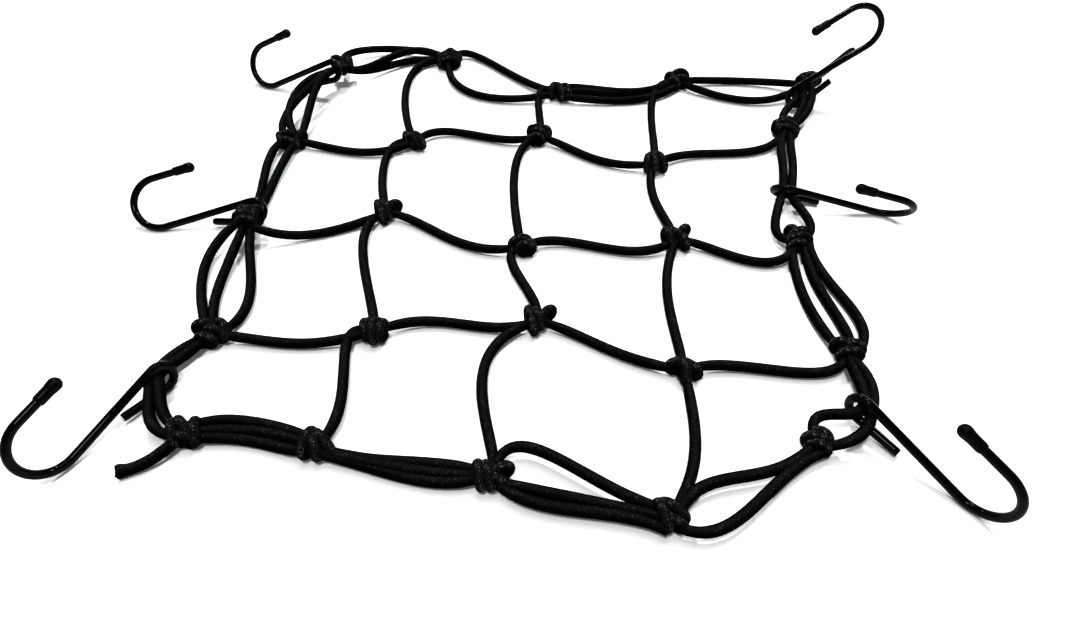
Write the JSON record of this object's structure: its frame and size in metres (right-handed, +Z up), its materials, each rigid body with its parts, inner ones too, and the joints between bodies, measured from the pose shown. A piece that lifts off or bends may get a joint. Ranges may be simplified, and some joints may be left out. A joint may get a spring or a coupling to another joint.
{
  "type": "cargo net",
  "caption": "Knotted elastic cargo net with open meshes, laid flat, with bent wire hooks round its edge for tying a load to a rack.",
  "frame": {"origin": "on the surface that the net lies on, in the middle of the flat underside of the middle knot", "axes": "+Z up from the surface, +X along the net's front edge to the right, +Y from the front edge to the back edge"},
  "size_m": [0.5319, 0.4606, 0.0818],
  "materials": {
    "cord": "braided black elastic cord, dull with a faint sheen",
    "hook_wire": "high gloss black coating on steel wire",
    "tip_vinyl": "satin black dipped vinyl"
  },
  "bodies": {
    "root": {"net": "cord", "hook_1": "hook_wire", "hook_2": "hook_wire", "hook_3": "hook_wire", "hook_4": "hook_wire", "hook_5": "hook_wire", "hook_6": "hook_wire", "tip_cap_1": "tip_vinyl", "tip_cap_2": "tip_vinyl", "tip_cap_3": "tip_vinyl", "tip_cap_4": "tip_vinyl", "tip_cap_5": "tip_vinyl", "tip_cap_6": "tip_vinyl"}
  },
  "joints": []
}
